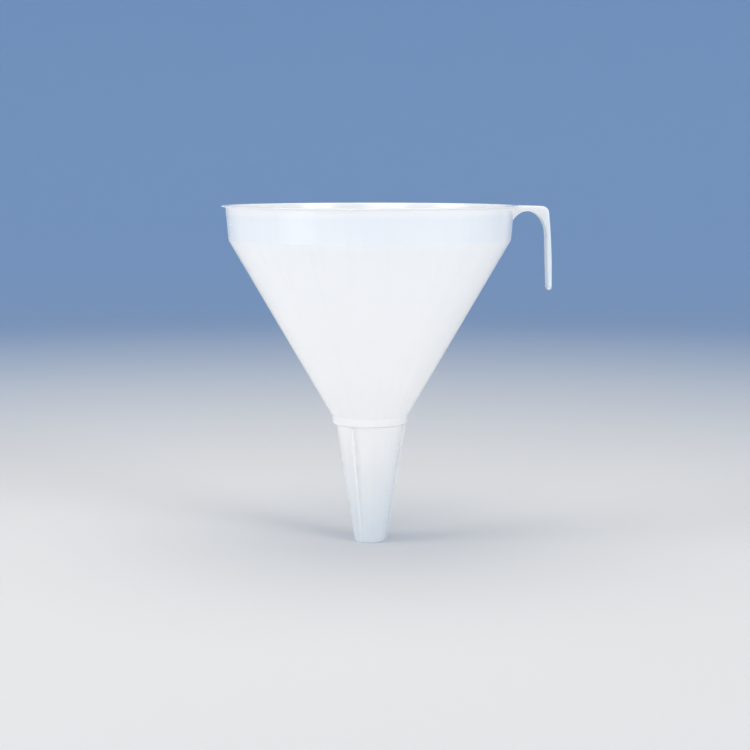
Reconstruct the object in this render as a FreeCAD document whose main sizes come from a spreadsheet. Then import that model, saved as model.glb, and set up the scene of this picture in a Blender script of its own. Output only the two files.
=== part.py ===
import FreeCAD, Part
import math
import os

import Sketcher
from FreeCAD import Vector

# A laboratory funnel with a hook handle, moulded in one piece of white polyethylene.
# Millimetres. The origin is at the centre of the stem's open tip, +Z runs up the axis
# to the rim, and +X points to the handle.

# Driving dimensions: name, value, what it measures.
driving_sizes = [
    ("total_height", 300, "stem tip to rim"),
    ("mouth_diameter", 253, "outside of the upright band, under the rim"),
    ("band_height", 30.3, "rim down to the bend between band and cone"),
    ("band_draft", 2.5, "how far the band draws in by the bend"),
    ("bend_rounding", 2, "rounding of the bend, inside"),
    ("wall", 2.2, "wall of the band and the cone"),
    ("flange_width", 3.5, "rim flange, out from the band"),
    ("flange_edge", 1, "flange thickness at its outer edge"),
    ("flange_root", 1.3, "flange thickness at the band"),
    ("flange_gusset", 0.9, "bevel that joins flange and band, below the flange"),
    ("lip_bevel", 0.4, "bevel of the flange's upper edge, the mouth and the stem's bore"),
    ("seat_diameter", 62, "inside of the collar, above its ledge"),
    ("ledge_width", 3.3, "ledge around the bottom of the seat"),
    ("ledge_thickness", 2.2, "thickness of the ledge"),
    ("collar_wall", 2.9, "wall of the collar around the seat"),
    ("collar_height", 7.2, "outside height of the collar"),
    ("collar_draft", 0.3, "how far the collar draws in towards the ledge"),
    ("collar_rounding", 1, "rounding of the collar's lower corner"),
    ("stem_length", 107, "stem tip to the collar"),
    ("stem_wall", 2.2, "wall of the stem at the collar"),
    ("tip_diameter", 28.1, "outside of the stem at its tip"),
    ("tip_wall", 1.8, "wall of the stem at its tip"),
    ("tip_rounding", 0.6, "rounding of the tip's edges"),
    ("vent_count", 3, "air ribs around the stem"),
    ("vent_width", 1.5, "thickness of an air rib"),
    ("vent_setback", 1.1, "how far a rib stays inside the collar"),
    ("vent_tip", 0.5, "how far a rib stands out at the tip"),
    ("hook_width", 22, "width of the hook"),
    ("hook_reach", 29.8, "rim out to the outer face of the hook's leg"),
    ("hook_drop", 74, "rim down to the leg's end"),
    ("hook_rounding", 1.3, "rounding of the hook's long edges"),
    ("strap", 2, "thickness of the hook's outer wall"),
    ("web", 1.8, "thickness of its two side walls"),
    ("end_wall", 2.2, "thickness of the wall that closes the leg's end"),
    ("end_rounding", 5, "corners of the leg's end, seen from outside"),
    ("leg_depth", 3.7, "depth of the leg's channel section at its end"),
    ("leg_straight", 10, "straight length at the end of the leg"),
    ("flare_radius", 560, "outward sweep of the leg"),
    ("crown_radius", 420, "slight fall of the hook's top"),
    ("corner_radius", 6.5, "outer corner of the hook"),
    ("arch_crown", 5, "rim down to the top of the finger arch"),
    ("arch_rise", 22.2, "height of the arch over its springing"),
    ("arch_inset", 5.2, "how far the arch's ellipse runs in past the band"),
    ("spring_depth", 5.3, "leg's outer face to the arch's foot"),
]

# Places that more than one outline uses, as expressions on the sheet.
rim_level = "Sizes.total_height"
band_radius = "Sizes.mouth_diameter / 2"
bend_radius = f"{band_radius} - Sizes.band_draft"
bend_level = f"{rim_level} - Sizes.band_height"
rim_radius = f"{band_radius} + Sizes.flange_width"
seat_radius = "Sizes.seat_diameter / 2"
seat_level = "Sizes.stem_length + Sizes.ledge_thickness"
collar_radius = f"{seat_radius} + Sizes.collar_wall"
collar_foot = f"{collar_radius} - Sizes.collar_draft"
collar_top = "Sizes.stem_length + Sizes.collar_height"
bore_radius = f"{seat_radius} - Sizes.ledge_width"
stem_radius = f"{bore_radius} + Sizes.stem_wall"
tip_radius = "Sizes.tip_diameter / 2"
tip_bore = f"{tip_radius} - Sizes.tip_wall"
leg_face = f"{rim_radius} + Sizes.hook_reach"
leg_back = f"{leg_face} - Sizes.leg_depth"
leg_end = f"{rim_level} - Sizes.hook_drop"
channel_floor = f"{leg_end} + Sizes.end_wall"
flare_end = f"{leg_end} + Sizes.leg_straight"
arch_start = f"{band_radius} - Sizes.arch_inset"
arch_foot = f"{leg_face} - Sizes.spring_depth"
arch_level = f"{rim_level} - Sizes.arch_crown"
spring_level = f"{arch_level} - Sizes.arch_rise"


def fill_sheet(document):
    sheet = document.addObject("Spreadsheet::Sheet", "Sizes")
    for row, (name, value, meaning) in enumerate(driving_sizes, start=1):
        sheet.set(f"A{row}", name)
        sheet.set(f"B{row}", str(value))
        sheet.set(f"C{row}", meaning)
        sheet.setAlias(f"B{row}", name)
    document.recompute()


# Sketching. All sketches lie in the XZ plane, so their x is the part's x and their y its z.

def origin_feature(body, role):
    return next(feature for feature in body.Origin.OriginFeatures if feature.Role == role)


def new_sketch(body, name):
    sketch = body.newObject("Sketcher::SketchObject", name)
    sketch.AttachmentSupport = (origin_feature(body, "XZ_Plane"), "")
    sketch.MapMode = "FlatFace"
    return sketch


def value_of(item, expression):
    return float(item.evalExpression(expression))


def point_at(sketch, x, z):
    return Vector(value_of(sketch, x), value_of(sketch, z), 0)


def constrain(sketch, kind, *places):
    return sketch.addConstraint(Sketcher.Constraint(kind, *places))


def dimension(sketch, kind, *places, size):
    """Add a dimension whose value is the expression size."""
    index = constrain(sketch, kind, *places, value_of(sketch, size))
    name = f"{kind}{index}"
    sketch.renameConstraint(index, name)
    sketch.setExpression(f"Constraints.{name}", size)


def place(sketch, line, end, x=None, z=None):
    """Hold one end of a line at the expressions x and z."""
    for kind, axis, size in (("DistanceX", -2, x), ("DistanceY", -1, z)):
        if size == "0":
            constrain(sketch, "PointOnObject", line, end, axis)
        elif size is not None:
            dimension(sketch, kind, -1, 1, line, end, size=size)


def draw_polygon(sketch, corners, loose=()):
    """Draw a closed run of lines. Each holds its first corner in place, apart from the
    corners numbered in loose, which only start near theirs."""
    points = [point_at(sketch, x, z) for x, z in corners]
    ends = points[1:] + points[:1]
    lines = [sketch.addGeometry(Part.LineSegment(*pair), False) for pair in zip(points, ends)]
    for line, next_line in zip(lines, lines[1:] + lines[:1]):
        constrain(sketch, "Coincident", line, 2, next_line, 1)
    for number, (line, (x, z)) in enumerate(zip(lines, corners)):
        if number not in loose:
            place(sketch, line, 1, x, z)
    return lines


def round_corner(sketch, line, rounding):
    """Round the corner at the end of a line, whose sharp corner stays as a point."""
    sketch.fillet(line, 2, value_of(sketch, rounding), True, True)
    arc = sketch.GeometryCount - 2
    dimension(sketch, "Radius", arc, size=rounding)


def arc_between(centre, start, stop):
    """The arc that runs anticlockwise about centre from start to stop."""
    circle = Part.Circle(centre, Vector(0, 0, 1), centre.distanceToPoint(start))
    angles = [math.atan2(point.y - centre.y, point.x - centre.x) for point in (start, stop)]
    return Part.ArcOfCircle(circle, *angles)


# Features.

def pad_across(body, name, sketch, width, kind="Pad"):
    """Pad or pocket a side outline to half of width on each side of the XZ plane."""
    feature = body.newObject(f"PartDesign::{kind}", name)
    feature.Profile = sketch
    feature.SideType = "Symmetric"
    feature.setExpression("Length", width)
    body.Document.recompute()
    return feature


def turn(body, name, sketch, kind="Revolution"):
    """Turn a half section once round the axis, as a solid or as a groove."""
    feature = body.newObject(f"PartDesign::{kind}", name)
    feature.Profile = sketch
    feature.ReferenceAxis = (origin_feature(body, "Z_Axis"), [""])
    feature.Angle = 360
    body.Document.recompute()
    return feature


def dress(body, name, base, picks, size, kind="Fillet"):
    """Round, or bevel, the edges of base for which picks(edge) is true."""
    edges = [f"Edge{number}" for number, edge in enumerate(base.Shape.Edges, start=1) if picks(edge)]
    feature = body.newObject(f"PartDesign::{kind}", name)
    feature.Base = (base, edges)
    feature.setExpression("Radius" if kind == "Fillet" else "Size", size)
    body.Document.recompute()
    return feature


def flat_at(box, axis, level):
    """True if an edge's box lies at one level along an axis."""
    return all(abs(getattr(box, axis + limit) - level) < 1e-3 for limit in ("Min", "Max"))


def edge_on(sketch, line):
    """Name of the edge that a line of the sketch has in the sketch's shape."""
    drawn = sketch.Geometry[line]
    middle = sketch.Placement.multVec((drawn.StartPoint + drawn.EndPoint) / 2)
    gaps = [edge.distToShape(Part.Vertex(middle))[0] for edge in sketch.Shape.Edges]
    return f"Edge{gaps.index(min(gaps)) + 1}"


def is_ring(edge, radius, level):
    """True for a circle about the axis at this radius and level."""
    curve = edge.Curve
    return (isinstance(curve, Part.Circle) and abs(curve.Radius - radius) < 1e-3
            and (curve.Center - Vector(0, 0, level)).Length < 1e-3)


# The hook. Its side outline is padded to its width and hollowed from inside, which leaves
# an outer strap with a web down each side. It starts inside the bowl, where the interior
# cut trims it to the wall.

def draw_strap(sketch, depth):
    """Outer line of the strap, or the line that lies depth inside it.

    It runs out level from the arch's start to the rim, falls slightly, turns the corner
    and sweeps down to the leg's end. Returns its first and last line."""
    start = point_at(sketch, arch_start, f"{rim_level} - {depth}")
    brow = point_at(sketch, rim_radius, f"{rim_level} - {depth}")
    knee = point_at(sketch, f"{leg_face} - {depth}", flare_end)
    stop = point_at(sketch, f"{leg_face} - {depth}", leg_end)
    crown, corner, flare = [value_of(sketch, f"Sizes.{name} - {depth}")
                            for name in ("crown_radius", "corner_radius", "flare_radius")]
    crown_centre = brow - Vector(0, crown, 0)
    flare_centre = knee - Vector(flare, 0, 0)

    # The corner's circle touches both long arcs from inside.
    span = flare_centre - crown_centre
    to_crown, to_flare = crown - corner, flare - corner
    along = (to_crown ** 2 - to_flare ** 2 + span.Length ** 2) / (2 * span.Length)
    across = math.sqrt(to_crown ** 2 - along ** 2)
    unit = Vector(span).normalize()
    corner_centre = crown_centre + unit * along + Vector(unit.y, -unit.x, 0) * across
    shoulder = crown_centre + Vector(corner_centre - crown_centre).normalize() * crown
    elbow = flare_centre + Vector(corner_centre - flare_centre).normalize() * flare

    pieces = (Part.LineSegment(start, brow),
              arc_between(crown_centre, shoulder, brow),
              arc_between(corner_centre, elbow, shoulder),
              arc_between(flare_centre, knee, elbow),
              Part.LineSegment(knee, stop))
    top, crown_arc, corner_arc, flare_arc, leg = [sketch.addGeometry(piece, False) for piece in pieces]
    constrain(sketch, "Tangent", top, 2, crown_arc, 2)
    constrain(sketch, "Tangent", crown_arc, 1, corner_arc, 2)
    constrain(sketch, "Tangent", corner_arc, 1, flare_arc, 2)
    constrain(sketch, "Tangent", flare_arc, 1, leg, 1)
    constrain(sketch, "Horizontal", top)
    constrain(sketch, "Vertical", leg)
    place(sketch, top, 2, rim_radius, f"{rim_level} - {depth}")
    place(sketch, leg, 1, f"{leg_face} - {depth}", flare_end)
    dimension(sketch, "Radius", crown_arc, size=f"Sizes.crown_radius - {depth}")
    dimension(sketch, "Radius", corner_arc, size=f"Sizes.corner_radius - {depth}")
    dimension(sketch, "Radius", flare_arc, size=f"Sizes.flare_radius - {depth}")
    return top, leg


def draw_hook_side(body):
    sketch = new_sketch(body, "HookSide")
    top, leg = draw_strap(sketch, "0")
    face_end = point_at(sketch, leg_face, leg_end)
    back_end = point_at(sketch, leg_back, leg_end)
    foot = point_at(sketch, arch_foot, spring_level)
    root = point_at(sketch, arch_start, spring_level)
    crown = Vector((foot.x + root.x) / 2, value_of(sketch, arch_level), 0)
    ellipse = Part.Ellipse(crown, root, (foot + root) / 2)

    pieces = (Part.LineSegment(face_end, back_end),
              Part.LineSegment(back_end, foot),
              Part.ArcOfEllipse(ellipse, -math.pi / 2, math.pi / 2),
              Part.LineSegment(root, point_at(sketch, arch_start, rim_level)))
    end, back, arch, inside = [sketch.addGeometry(piece, False) for piece in pieces]
    for line, next_line in ((leg, end), (end, back), (arch, inside), (inside, top)):
        constrain(sketch, "Coincident", line, 2, next_line, 1)
    constrain(sketch, "Tangent", back, 2, arch, 1)
    constrain(sketch, "Vertical", inside)
    place(sketch, end, 1, z=leg_end)
    place(sketch, end, 2, leg_back, leg_end)
    place(sketch, arch, 2, arch_start, spring_level)
    place(sketch, arch, 3, z=spring_level)
    sketch.exposeInternalGeometry(arch)
    long_axis, short_axis = inside + 1, inside + 2
    constrain(sketch, "Vertical", long_axis)
    place(sketch, long_axis, 1, z=arch_level)
    place(sketch, short_axis, 2, x=arch_foot)
    return sketch


def draw_hook_channel(body):
    """Side view of the space between the webs, open towards the funnel."""
    sketch = new_sketch(body, "HookChannel")
    top, leg = draw_strap(sketch, "Sizes.strap")
    corner = point_at(sketch, f"{leg_face} - Sizes.strap", channel_floor)
    inner_corner = point_at(sketch, arch_start, channel_floor)
    start = point_at(sketch, arch_start, f"{rim_level} - Sizes.strap")
    floor = sketch.addGeometry(Part.LineSegment(corner, inner_corner), False)
    inside = sketch.addGeometry(Part.LineSegment(inner_corner, start), False)
    for line, next_line in ((leg, floor), (floor, inside), (inside, top)):
        constrain(sketch, "Coincident", line, 2, next_line, 1)
    constrain(sketch, "Horizontal", floor)
    constrain(sketch, "Vertical", inside)
    place(sketch, inside, 1, arch_start, channel_floor)
    return sketch


def make_hook(body):
    side = draw_hook_side(body)
    body.Document.recompute()
    block = pad_across(body, "HookBlock", side, "Sizes.hook_width")
    half_width = value_of(block, "Sizes.hook_width / 2")
    start, end_level, floor_level = [value_of(block, level) for level in (arch_start, leg_end, channel_floor)]

    def runs_out_at(level):
        return lambda edge: edge.BoundBox.YLength < 1e-3 and flat_at(edge.BoundBox, "Z", level)

    def is_long_edge(edge):
        box = edge.BoundBox
        on_side = flat_at(box, "Y", half_width) or flat_at(box, "Y", -half_width)
        return on_side and not flat_at(box, "X", start)

    ended = dress(body, "HookEnd", block, runs_out_at(end_level), "Sizes.end_rounding")
    channel = draw_hook_channel(body)
    body.Document.recompute()
    hollowed = pad_across(body, "HookHollow", channel, "Sizes.hook_width - 2 * Sizes.web", "Pocket")
    if hollowed.Shape.Volume > 0.8 * ended.Shape.Volume:
        raise RuntimeError("the hook was not hollowed")
    floored = dress(body, "HookFloor", hollowed, runs_out_at(floor_level), "Sizes.end_rounding - Sizes.web")
    dress(body, "HookEdges", floored, is_long_edge, "Sizes.hook_rounding")


# The turned form: a solid with the funnel's outer shape, then the interior cut out of it.

def draw_outside(body):
    """Half section of the outer shape. Returns it with its cone and band lines."""
    sketch = new_sketch(body, "Outside")
    lines = draw_polygon(sketch, [
        ("0", "0"),
        (tip_radius, "0"),
        (stem_radius, "Sizes.stem_length"),
        (collar_foot, "Sizes.stem_length"),
        (collar_radius, collar_top),
        (bend_radius, bend_level),
        (band_radius, f"{rim_level} - Sizes.flange_root - Sizes.flange_gusset"),
        (f"{band_radius} + Sizes.flange_gusset", f"{rim_level} - Sizes.flange_root"),
        (rim_radius, f"{rim_level} - Sizes.flange_edge"),
        (rim_radius, f"{rim_level} - Sizes.lip_bevel"),
        (f"{rim_radius} - Sizes.lip_bevel", rim_level),
        ("0", rim_level)])
    bottom, stem, shoulder, collar, cone, band = lines[:6]
    for line, rounding in ((bottom, "Sizes.tip_rounding"),
                           (shoulder, "Sizes.collar_rounding"),
                           (cone, "Sizes.bend_rounding + Sizes.wall")):
        round_corner(sketch, line, rounding)
    return sketch, cone, band


def draw_inside(body, outside, cone, band):
    """Half section of the space inside. Cone and band keep one wall all the way."""
    sketch = new_sketch(body, "Inside")
    for line in (cone, band):
        sketch.addExternal(outside.Name, edge_on(outside, line))
    cone_face, band_face = -3, -4
    lines = draw_polygon(sketch, [
        ("0", "0"),
        (tip_bore, "0"),
        (bore_radius, seat_level),
        (seat_radius, seat_level),
        (seat_radius, collar_top),
        (f"{bend_radius} - Sizes.wall", bend_level),
        (f"{band_radius} - Sizes.wall", rim_level),
        ("0", rim_level)], loose=(4, 5, 6))
    bottom, bore, ledge, seat, cone_inside, band_inside, top, axis = lines
    constrain(sketch, "Vertical", seat)
    place(sketch, band_inside, 2, z=rim_level)
    for inside, face in ((cone_inside, cone_face), (band_inside, band_face)):
        constrain(sketch, "Parallel", inside, face)
        dimension(sketch, "Distance", inside, 2, face, size="Sizes.wall")
    round_corner(sketch, cone_inside, "Sizes.bend_rounding")
    return sketch, band_inside


def draw_vent(body):
    """Side view of an air rib, with its root inside the stem and its top in the ledge."""
    sketch = new_sketch(body, "VentSide")
    vent_top = "Sizes.stem_length + Sizes.ledge_thickness / 2"
    draw_polygon(sketch, [
        (f"{tip_bore} / 2", "0"),
        (f"{tip_radius} + Sizes.vent_tip", "0"),
        (f"{collar_foot} - Sizes.vent_setback", "Sizes.stem_length"),
        (f"{collar_foot} - Sizes.vent_setback", vent_top),
        (f"{bore_radius} / 2", vent_top)])
    return sketch


def make_vents(body):
    side = draw_vent(body)
    body.Document.recompute()
    rib = pad_across(body, "Vent", side, "Sizes.vent_width")
    vents = body.newObject("PartDesign::PolarPattern", "Vents")
    vents.Originals = [rib]
    vents.Axis = (origin_feature(body, "Z_Axis"), [""])
    vents.Angle = 360
    vents.setExpression("Occurrences", "Sizes.vent_count")
    body.Tip = vents
    body.Document.recompute()


def make_funnel(document):
    body = document.addObject("PartDesign::Body", "Funnel")
    body.Label = "funnel"
    make_hook(body)
    outside, cone, band = draw_outside(body)
    document.recompute()
    turn(body, "OuterForm", outside)
    make_vents(body)

    inside, band_inside = draw_inside(body, outside, cone, band)
    document.recompute()
    volume_before = body.Shape.Volume
    shell = turn(body, "Interior", inside, "Groove")
    if shell.Shape.Volume > 0.5 * volume_before:
        raise RuntimeError("the interior was not cut")
    mouth = inside.Geometry[band_inside].EndPoint
    bore = value_of(body, tip_bore)

    def is_sharp_ring(edge):
        return is_ring(edge, mouth.x, mouth.y) or is_ring(edge, bore, 0)

    dress(body, "Lips", shell, is_sharp_ring, "Sizes.lip_bevel", "Chamfer")
    return body


def check(document):
    """Stop if any object of the document failed or holds a bad shape."""
    for item in document.Objects:
        if {"Invalid", "Error"} & set(item.State):
            raise RuntimeError(f"{item.Label} is {item.State}")
    for body in document.findObjects("PartDesign::Body"):
        if body.Shape.isNull() or not body.Shape.isValid() or len(body.Shape.Solids) != 1:
            raise RuntimeError(f"{body.Label} is not one valid solid")


def main():
    document = FreeCAD.newDocument("Funnel")
    fill_sheet(document)
    funnel = make_funnel(document)
    document.recompute()
    check(document)
    os.makedirs("parts", exist_ok=True)
    funnel.Shape.exportStep(os.path.join("parts", f"{funnel.Label}.step"))
    print(funnel.Label, round(funnel.Shape.Volume / 1000, 1), "cm3")


main()
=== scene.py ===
import math

import bmesh
import bpy
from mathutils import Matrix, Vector

# A laboratory funnel moulded in natural white polyethylene, on a pale studio floor. Metres, +Z up.

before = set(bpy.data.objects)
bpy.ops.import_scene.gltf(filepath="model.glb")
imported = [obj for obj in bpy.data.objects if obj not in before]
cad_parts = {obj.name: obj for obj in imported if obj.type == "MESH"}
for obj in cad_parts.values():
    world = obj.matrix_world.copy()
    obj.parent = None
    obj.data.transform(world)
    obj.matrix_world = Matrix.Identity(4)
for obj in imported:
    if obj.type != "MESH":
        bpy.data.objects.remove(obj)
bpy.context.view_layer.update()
scene = bpy.context.scene
scene.view_settings.view_transform = "Standard"
print("frame loaded:", ", ".join(sorted(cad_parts)))


# Shader kit: Wire holds one socket, Bench builds the nodes of one material.

class Wire:
    def __init__(self, bench, socket):
        self.bench = bench
        self.socket = socket

    def maths(self, operation, first, second):
        return self.bench.node("ShaderNodeMath", {"operation": operation}, {0: first, 1: second})

    def __add__(self, other):
        return self.maths("ADD", self, other)

    def __radd__(self, other):
        return self.maths("ADD", other, self)

    def __sub__(self, other):
        return self.maths("SUBTRACT", self, other)

    def __rsub__(self, other):
        return self.maths("SUBTRACT", other, self)

    def __mul__(self, other):
        return self.maths("MULTIPLY", self, other)

    def __rmul__(self, other):
        return self.maths("MULTIPLY", other, self)

    def __truediv__(self, other):
        return self.maths("DIVIDE", self, other)

    def __rtruediv__(self, other):
        return self.maths("DIVIDE", other, self)


class Bench:
    def __init__(self, name):
        self.material = bpy.data.materials.new(name)
        self.material.use_nodes = True
        self.tree = self.material.node_tree
        self.tree.nodes.clear()

    def node(self, kind, settings=None, sockets=None, output=0):
        # settings go first, because they can change which sockets there are
        made = self.tree.nodes.new(kind)
        for name, value in (settings or {}).items():
            setattr(made, name, value)
        for name, value in (sockets or {}).items():
            if isinstance(value, Wire):
                self.tree.links.new(value.socket, made.inputs[name])
            else:
                made.inputs[name].default_value = value
        return Wire(self, made.outputs[output] if len(made.outputs) else None)

    def noise(self, place, scale, detail=2.0, roughness=0.5):
        sockets = {"Vector": place, "Scale": scale, "Detail": detail, "Roughness": roughness}
        return self.node("ShaderNodeTexNoise", {"noise_dimensions": "3D"}, sockets)

    def between(self, value, low, high):
        # 0 below low, 1 above high, smooth in between
        return self.node("ShaderNodeMapRange", {"interpolation_type": "SMOOTHSTEP"},
                         {"Value": value, "From Min": low, "From Max": high})

    def blend(self, share, first, second):
        # output 2 is the colour result, which has the same name as the others
        mixed = self.node("ShaderNodeMix", {"data_type": "RGBA"}, {"Factor": share}, output=2)
        colourSockets = [s for s in mixed.socket.node.inputs if s.type == "RGBA"]
        for socket, colour in zip(colourSockets, (first, second)):
            if isinstance(colour, Wire):
                self.tree.links.new(colour.socket, socket)
            else:
                socket.default_value = (*colour, 1)
        return mixed

    def bump(self, depth, height, normal=None):
        sockets = {"Strength": 1.0, "Distance": depth, "Height": height}
        if normal is not None:
            sockets["Normal"] = normal
        return self.node("ShaderNodeBump", sockets=sockets)

    def finish(self, shader):
        self.node("ShaderNodeOutputMaterial", sockets={"Surface": shader})
        return self.material


def smooth(obj):
    for face in obj.data.polygons:
        face.use_smooth = True


# Camera: the photograph's viewpoint, a little above the rim and looking slightly down.

camera = {
    "place": (0.0046, -1.458, 0.3286),
    "lens": 79.2,          # mm
    "sensor": 36,          # mm
    "tiltDown": 0.1221,    # radians
}


def makeCamera():
    lens = bpy.data.cameras.new("camera")
    lens.lens = camera["lens"]
    lens.sensor_width = camera["sensor"]
    stand = bpy.data.objects.new("camera", lens)
    stand.location = camera["place"]
    stand.rotation_euler = (math.pi / 2 - camera["tiltDown"], 0, 0)
    scene.collection.objects.link(stand)
    scene.camera = stand


makeCamera()
print("camera placed")


# Studio: a round pale floor that curves up into a blue wall, and soft lamps.

studio = {
    "floorColour": (0.80, 0.80, 0.79),
    "wallColour": (0.40, 0.60, 0.88),
    "shadeFrom": 0.35,     # how far out the floor's colour starts to turn into the wall's
    "shadeTo": 3.0,        # and where it has turned
    "floorRadius": 2.2,
    "curveRadius": 1.4,    # of the sweep between floor and wall
    "wallHeight": 3.6,
    "segments": 96,
    "curveSteps": 14,
    "roughness": 0.9,
    "gloss": 0.2,
}


def stagePaint():
    bench = Bench("studioPaper")
    place = bench.node("ShaderNodeTexCoord", output="Object")
    distance = bench.node("ShaderNodeVectorMath", {"operation": "LENGTH"}, {0: place}, output="Value")
    depth = bench.between(distance, studio["shadeFrom"], studio["shadeTo"])
    paper = bench.node("ShaderNodeBsdfPrincipled", sockets={
        "Base Color": bench.blend(depth, studio["floorColour"], studio["wallColour"]),
        "Roughness": studio["roughness"], "Specular IOR Level": studio["gloss"]})
    # from under the floor the paper is clear, so that the funnel can be looked at from below
    under = bench.node("ShaderNodeNewGeometry", output="Backfacing")
    clear = bench.node("ShaderNodeBsdfTransparent")
    return bench.finish(bench.node("ShaderNodeMixShader", sockets={0: under, 1: paper, 2: clear}))


def makeStage():
    profile = [(studio["floorRadius"], 0.0)]
    for step in range(1, studio["curveSteps"] + 1):
        turn = math.pi / 2 * step / studio["curveSteps"]
        profile.append((studio["floorRadius"] + studio["curveRadius"] * math.sin(turn),
                        studio["curveRadius"] * (1 - math.cos(turn))))
    profile.append((profile[-1][0], studio["wallHeight"]))
    angles = [2 * math.pi * k / studio["segments"] for k in range(studio["segments"])]
    shape = bmesh.new()
    rings = []
    for radius, height in profile:
        ring = [(radius * math.cos(a), radius * math.sin(a), height) for a in angles]
        rings.append([shape.verts.new(point) for point in ring])
    shape.faces.new(rings[0])    # the floor, one face
    for low, high in zip(rings, rings[1:]):
        for k in range(studio["segments"]):
            after = (k + 1) % studio["segments"]
            shape.faces.new((low[k], high[k], high[after], low[after]))
    mesh = bpy.data.meshes.new("stage")
    shape.to_mesh(mesh)
    shape.free()
    stage = bpy.data.objects.new("stage", mesh)
    stage.data.materials.append(stagePaint())
    smooth(stage)
    scene.collection.objects.link(stage)


lamps = {
    "overhead": {"place": (0.0, 0.1, 1.7), "aim": (0, 0, 0.2), "size": (1.7, 1.7),
                 "power": 14, "colour": (1.0, 0.95, 0.87)},
    # the card is mirrored as the bright patch on the left of the band
    "card": {"place": (-0.80, -0.61, 0.22), "aim": (0, 0, 0.25), "size": (0.38, 0.32),
             "power": 0.5, "colour": (1.0, 0.96, 0.90)},
    "left": {"place": (-1.8, -0.5, 0.75), "aim": (0, 0, 0.2), "size": (1.0, 0.8),
             "power": 12, "colour": (1.0, 0.945, 0.855)},
    "front": {"place": (-0.6, -2.2, 0.65), "aim": (0, 0, 0.2), "size": (1.4, 0.6),
              "power": 9, "colour": (1.0, 0.945, 0.845)},
    "right": {"place": (1.5, -1.4, 0.75), "aim": (0, 0, 0.2), "size": (0.9, 0.8),
              "power": 16, "colour": (1.0, 0.95, 0.86)},
}
sky = {"colour": (1.0, 0.98, 0.95), "strength": 0.45}


def makeLamps():
    for name, facts in lamps.items():
        light = bpy.data.lights.new(name, "AREA")
        light.shape = "RECTANGLE"
        light.size, light.size_y = facts["size"]
        light.energy = facts["power"]
        light.color = facts["colour"]
        lamp = bpy.data.objects.new(name, light)
        lamp.location = facts["place"]
        lamp.visible_camera = False
        lamp.rotation_euler = (Vector(facts["aim"]) - lamp.location).to_track_quat("-Z", "Y").to_euler()
        scene.collection.objects.link(lamp)
    world = bpy.data.worlds.new("studio")
    world.use_nodes = True
    background = world.node_tree.nodes["Background"]
    background.inputs["Color"].default_value = (*sky["colour"], 1)
    background.inputs["Strength"].default_value = sky["strength"]
    scene.world = world


makeStage()
makeLamps()
print("studio built")


# The moulding: natural white polyethylene, satin outside. Light goes a little way into the wall.
# Painted shade tints the band, the hook's leg and the stem bluish.

polyethylene = {
    "milk": (0.938, 0.938, 0.933),
    "shadeAndStreakTint": (0.77, 0.845, 0.97),    # painted shade, bluish as if the backdrop showed through a thin wall; the streaks and clouds also drift towards this colour
    "lipFrom": 0.290,               # heights between which the band's painted shade ends under the thick lip
    "lipTo": 0.2955,
    "bandFrom": 0.2685,             # heights between which it starts at the foot of the band
    "bandTo": 0.2705,
    "bandPaintedShade": 0.42,               # how much painted shade each place takes
    "stemTop": 0.107,               # the stem's painted shade grows from this height down to the tip
    "stemPaintedShade": 0.95,
    "legFrom": 0.129,               # distances out from the axis, towards the hook's leg
    "legTo": 0.134,
    "legFoot": 0.262,               # heights between which the leg's painted shade fades out
    "legTop": 0.292,
    "legPaintedShade": 1.0,
    "streakCount": 9,               # flow streaks round the wall
    "streakLength": 2.2,            # a smaller value makes them longer
    "streakDetail": 3,
    "streakBreak": 0.55,
    "streakDepth": 0.5,
    "cloudScale": 30,
    "cloudDepth": 0.5,
    "scatterShare": 1.0,
    "scatterDepth": 0.004,
    "scatterColour": (1.0, 1.0, 1.0),
    "refraction": 1.53,
    "roughness": 0.17,
    "handled": 0.25,                # how far the roughness varies with handling
    "handledScale": 11,
    "handledDetail": 3,
    "scratchRoughness": 0.25,
    "scratchScale": 1.0,
    "scratchBreak": 0.6,
    "ringPitch": 0.0011,            # fine turning rings left by the mould
    "ringScale": 0.6,
    "ringHeight": 0.000012,
    "grainScale": 1400,
    "grainHeight": 0.000008,
    "waveScale": 14,                # slow waviness of a moulded wall
    "waveHeight": 0.0006,
    "softDetail": 1,                # octaves of the rings and the waves
}


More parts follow.
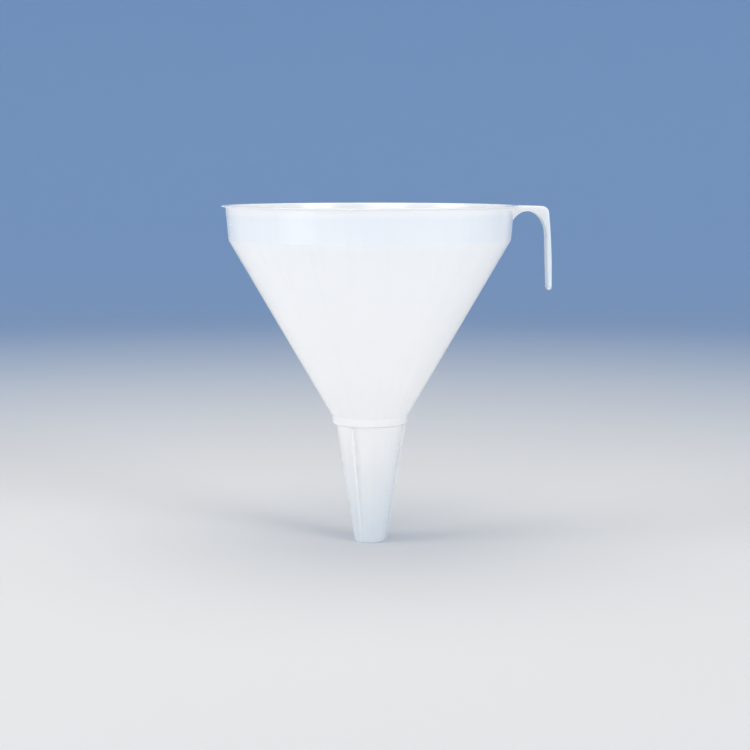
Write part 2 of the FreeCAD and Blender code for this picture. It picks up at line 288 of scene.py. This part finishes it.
def makePolyethylene():
    look = polyethylene
    bench = Bench("polyethylene")
    place = bench.node("ShaderNodeTexCoord", output="Object")
    height = bench.node("ShaderNodeSeparateXYZ", sockets={"Vector": place}, output="Z")
    reach = bench.node("ShaderNodeSeparateXYZ", sockets={"Vector": place}, output="X")
    aside = bench.node("ShaderNodeVectorMath", {"operation": "MULTIPLY"}, {0: place, 1: (1, 1, 0)})
    heading = bench.node("ShaderNodeVectorMath", {"operation": "NORMALIZE"}, {0: aside})

    # faint flow streaks run up the wall from the stem
    around = bench.node("ShaderNodeVectorMath", {"operation": "SCALE"},
                        {0: heading, "Scale": look["streakCount"]})
    upright = bench.node("ShaderNodeCombineXYZ", sockets={"Z": height * look["streakLength"]})
    flow = bench.node("ShaderNodeVectorMath", {"operation": "ADD"}, {0: around, 1: upright})
    streaks = bench.noise(flow, 1.0, look["streakDetail"], look["streakBreak"])
    clouds = bench.noise(place, look["cloudScale"])

    # painted shade, bluish as if the backdrop showed through one thin wall: on the band, the hook's
    # leg, and the stem towards its tip
    lip = bench.between(height, look["lipFrom"], look["lipTo"])
    band = bench.between(height, look["bandFrom"], look["bandTo"]) * (1 - lip)
    stem = 1 - bench.between(height, 0.0, look["stemTop"])
    leg = bench.between(reach, look["legFrom"], look["legTo"]) * (
        1 - bench.between(height, look["legFoot"], look["legTop"]))
    shadeAndStreakTint = band * look["bandPaintedShade"] + stem * look["stemPaintedShade"] + leg * look["legPaintedShade"]
    # the flow streaks and clouds vary the tint at random
    shadeAndStreakTint = shadeAndStreakTint + (streaks - 0.5) * look["streakDepth"] + (clouds - 0.5) * look["cloudDepth"]
    colour = bench.blend(shadeAndStreakTint, look["milk"], look["shadeAndStreakTint"])

    # gloss from the polished mould, a little duller where hands and other ware have rubbed it
    handled = bench.noise(place, look["handledScale"], look["handledDetail"])
    turned = bench.node("ShaderNodeCombineXYZ", sockets={"Z": height / look["ringPitch"]})
    scratchPlace = bench.node("ShaderNodeVectorMath", {"operation": "ADD"}, {0: around, 1: turned})
    scratches = bench.noise(scratchPlace, look["scratchScale"], roughness=look["scratchBreak"])
    roughness = (look["roughness"] + (handled - 0.5) * look["handled"]
                 + (scratches - 0.5) * look["scratchRoughness"])

    # slow waves, then turning rings, then a fine grain
    waves = bench.noise(place, look["waveScale"], look["softDetail"])
    grain = bench.noise(place, look["grainScale"])
    rings = bench.noise(scratchPlace, look["ringScale"], look["softDetail"])
    normal = bench.bump(look["waveHeight"], waves)
    normal = bench.bump(look["ringHeight"], rings, normal)
    normal = bench.bump(look["grainHeight"], grain, normal)
    plastic = bench.node("ShaderNodeBsdfPrincipled", sockets={
        "Base Color": colour, "Roughness": roughness, "Normal": normal, "IOR": look["refraction"],
        "Subsurface Weight": look["scatterShare"], "Subsurface Scale": look["scatterDepth"],
        "Subsurface Radius": look["scatterColour"]})
    return bench.finish(plastic)


def dressFunnel():
    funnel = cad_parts["funnel"]
    funnel.data.materials.clear()
    funnel.data.materials.append(makePolyethylene())


dressFunnel()
print("funnel dressed")
